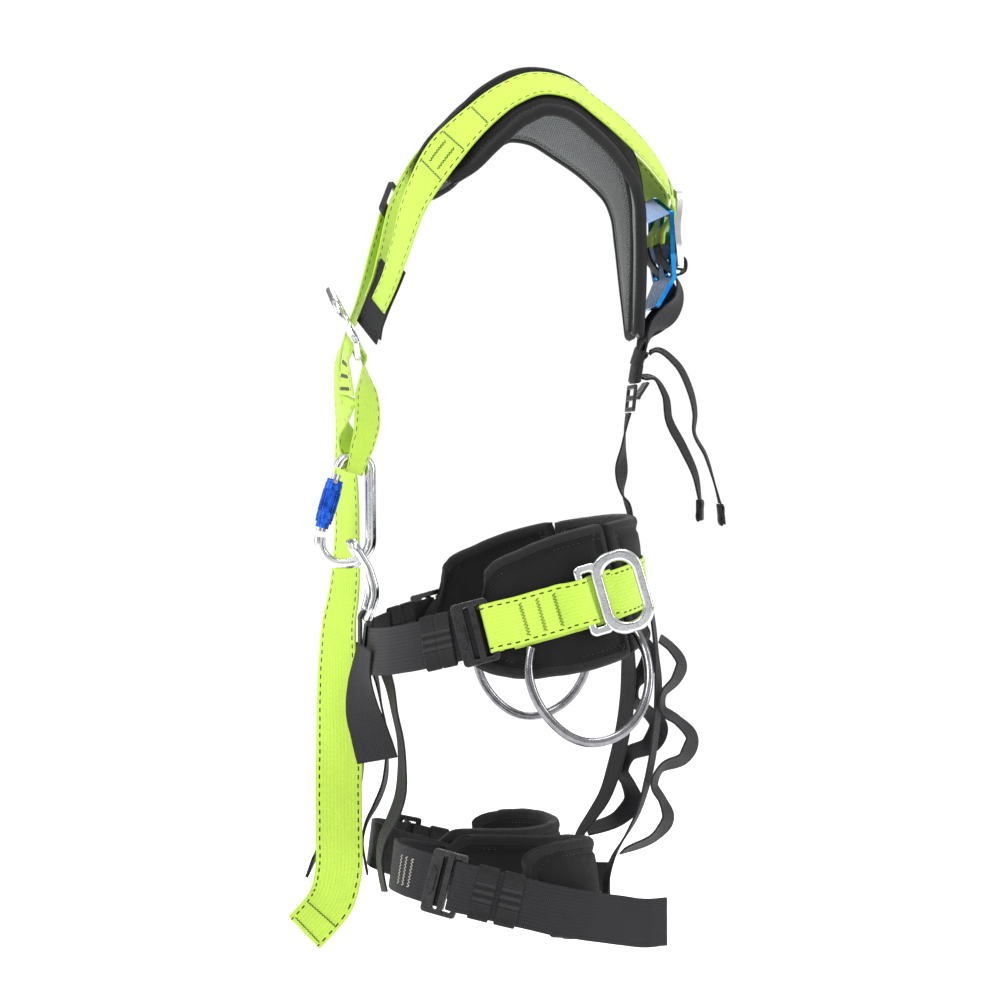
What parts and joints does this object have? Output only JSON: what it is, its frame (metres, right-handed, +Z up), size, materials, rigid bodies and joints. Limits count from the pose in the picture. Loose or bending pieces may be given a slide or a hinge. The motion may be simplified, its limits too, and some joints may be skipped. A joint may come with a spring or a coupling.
{
  "type": "tree climbing saddle",
  "caption": "Full-body climbing harness: padded waist belt and leg loops, shoulder straps, dorsal plate, D-rings and a front carabiner.",
  "frame": {"origin": "centre of the waist belt hoop", "axes": "+Z up along the wearer, +X to the wearer's left, -Y to the wearer's front"},
  "size_m": [0.3884, 0.4209, 0.8293],
  "materials": {
    "hi_vis_webbing": "woven polyester webbing, matt",
    "black_webbing": "woven webbing, slight sheen",
    "pad_cloth": "smooth coated cloth with ribbed binding",
    "forged_steel": "polished forging",
    "polished_aluminium": "polished",
    "blue_anodised": "blue anodised satin",
    "brass": "polished",
    "black_metal": "black coated, semi gloss",
    "black_rubber": "fine ribbed",
    "tube_aluminium": "satin tube"
  },
  "bodies": {
    "harness": {"back_buckle": "black_metal", "back_keepers": "black_rubber", "back_riser": "black_webbing", "back_strap_left": "black_webbing", "back_strap_right": "black_webbing", "back_tail_ends": "black_webbing", "back_tails": "black_webbing", "belt_webbing_back": "hi_vis_webbing", "chest_buckle": "black_metal", "chest_sleeves": "black_webbing", "chest_tail": "hi_vis_webbing", "dorsal_loop": "black_webbing", "dorsal_plate": "blue_anodised", "front_risers": "black_webbing", "leg_buckle_left": "black_metal", "leg_buckle_right": "black_metal", "leg_keepers": "black_rubber", "leg_pad_left": "pad_cloth", "leg_pad_right": "pad_cloth", "leg_strap_left": "black_webbing", "leg_strap_right": "black_webbing", "leg_tail_left": "black_webbing", "leg_tail_right": "black_webbing", "lumbar_pad": "pad_cloth", "rear_loops": "black_webbing", "rear_risers": "black_webbing", "shoulder_pad_left": "pad_cloth", "shoulder_pad_right": "pad_cloth", "shoulder_strap_left": "hi_vis_webbing", "shoulder_strap_right": "hi_vis_webbing", "sternal_strap": "hi_vis_webbing", "ventral_loop": "black_webbing", "waist_buckle_left": "black_metal", "waist_buckle_right": "black_metal", "waist_keepers": "black_rubber", "waist_pad_left": "pad_cloth", "waist_pad_right": "pad_cloth", "waist_strap_left": "black_webbing", "waist_strap_right": "black_webbing", "waist_tails": "black_webbing", "waist_webbing_left": "hi_vis_webbing", "waist_webbing_right": "hi_vis_webbing"},
    "side_d_left": {"side_d_left": "forged_steel"},
    "side_d_right": {"side_d_right": "forged_steel"},
    "sternal_d": {"sternal_d": "forged_steel"},
    "dorsal_d": {"dorsal_d": "forged_steel"},
    "ventral_ring": {"ventral_ring": "forged_steel"},
    "carabiner": {"carabiner_body": "polished_aluminium"},
    "carabiner_gate": {"carabiner_gate": "polished_aluminium"},
    "carabiner_sleeve": {"carabiner_sleeve": "blue_anodised", "carabiner_pin": "brass"},
    "gear_loop_left": {"gear_loop_left": "tube_aluminium"},
    "gear_loop_right": {"gear_loop_right": "tube_aluminium"},
    "waist_bar_left": {"waist_buckle_bar_left": "black_metal"},
    "waist_bar_right": {"waist_buckle_bar_right": "black_metal"},
    "leg_bar_left": {"leg_buckle_bar_left": "black_metal"},
    "leg_bar_right": {"leg_buckle_bar_right": "black_metal"},
    "back_buckle_lever": {"back_buckle_lever": "black_metal"}
  },
  "joints": [
    {"name": "side_d_left_swing", "type": "hinge", "parent": "harness", "child": "side_d_left", "pos_m": [0.16592, 0.0542, 0.01463], "axis": [0.0509, 0.2721, -0.9609], "range_deg": [0, 20]},
    {"name": "side_d_right_swing", "type": "hinge", "parent": "harness", "child": "side_d_right", "pos_m": [-0.16592, 0.0542, 0.01463], "axis": [0.0509, -0.2721, 0.9609], "range_deg": [0, 20]},
    {"name": "sternal_d_fold", "type": "hinge", "parent": "harness", "child": "sternal_d", "pos_m": [0.006, -0.1395, 0.25], "axis": [0.9402, 0.0339, -0.3388], "range_deg": [0, 75]},
    {"name": "dorsal_d_fold", "type": "hinge", "parent": "harness", "child": "dorsal_d", "pos_m": [0, 0.1705, 0.3313], "axis": [-1, 0, 0], "range_deg": [0, 85]},
    {"name": "ventral_ring_swing", "type": "hinge", "parent": "harness", "child": "ventral_ring", "pos_m": [0, -0.128, -0.004], "axis": [1, 0, 0], "range_deg": [-3, 3]},
    {"name": "carabiner_swing", "type": "hinge", "parent": "harness", "child": "carabiner", "pos_m": [0, -0.1395, 0.144], "axis": [1, 0, 0], "range_deg": [-3, 4]},
    {"name": "gate_open", "type": "hinge", "parent": "carabiner", "child": "carabiner_gate", "pos_m": [0, -0.171, 0.077], "axis": [-1, 0, 0], "range_deg": [0, 10], "stiffness_Nm_per_rad": 0.05, "springref_deg": -28.65},
    {"name": "sleeve_twist", "type": "hinge", "parent": "carabiner_gate", "child": "carabiner_sleeve", "pos_m": [0, -0.163, 0.1045], "axis": [0, 0.2793, 0.9602], "range_deg": [0, 90], "stiffness_Nm_per_rad": 0.01, "springref_deg": -17.19},
    {"name": "gear_loop_left_swing", "type": "hinge", "parent": "harness", "child": "gear_loop_left", "pos_m": [0.173, 0.004, -0.026], "axis": [0.2583, -0.9567, -0.1339], "range_deg": [0, 50]},
    {"name": "gear_loop_right_swing", "type": "hinge", "parent": "harness", "child": "gear_loop_right", "pos_m": [-0.173, 0.004, -0.026], "axis": [0.2583, 0.9567, 0.1339], "range_deg": [0, 50]},
    {"name": "waist_bar_left_slide", "type": "slide", "parent": "harness", "child": "waist_bar_left", "axis": [-0.1711, -0.9525, -0.2519], "range_m": [0, 0.003]},
    {"name": "waist_bar_right_slide", "type": "slide", "parent": "harness", "child": "waist_bar_right", "axis": [0.1711, -0.9525, -0.2519], "range_m": [0, 0.003]},
    {"name": "leg_bar_left_slide", "type": "slide", "parent": "harness", "child": "leg_bar_left", "axis": [-0.481, -0.8505, 0.2126], "range_m": [0, 0.003]},
    {"name": "leg_bar_right_slide", "type": "slide", "parent": "harness", "child": "leg_bar_right", "axis": [0.481, -0.8505, 0.2126], "range_m": [0, 0.003]},
    {"name": "back_lever_lift", "type": "hinge", "parent": "harness", "child": "back_buckle_lever", "pos_m": [0, 0.13135, 0.20433], "axis": [-1, 0, 0], "range_deg": [0, 60]}
  ]
}
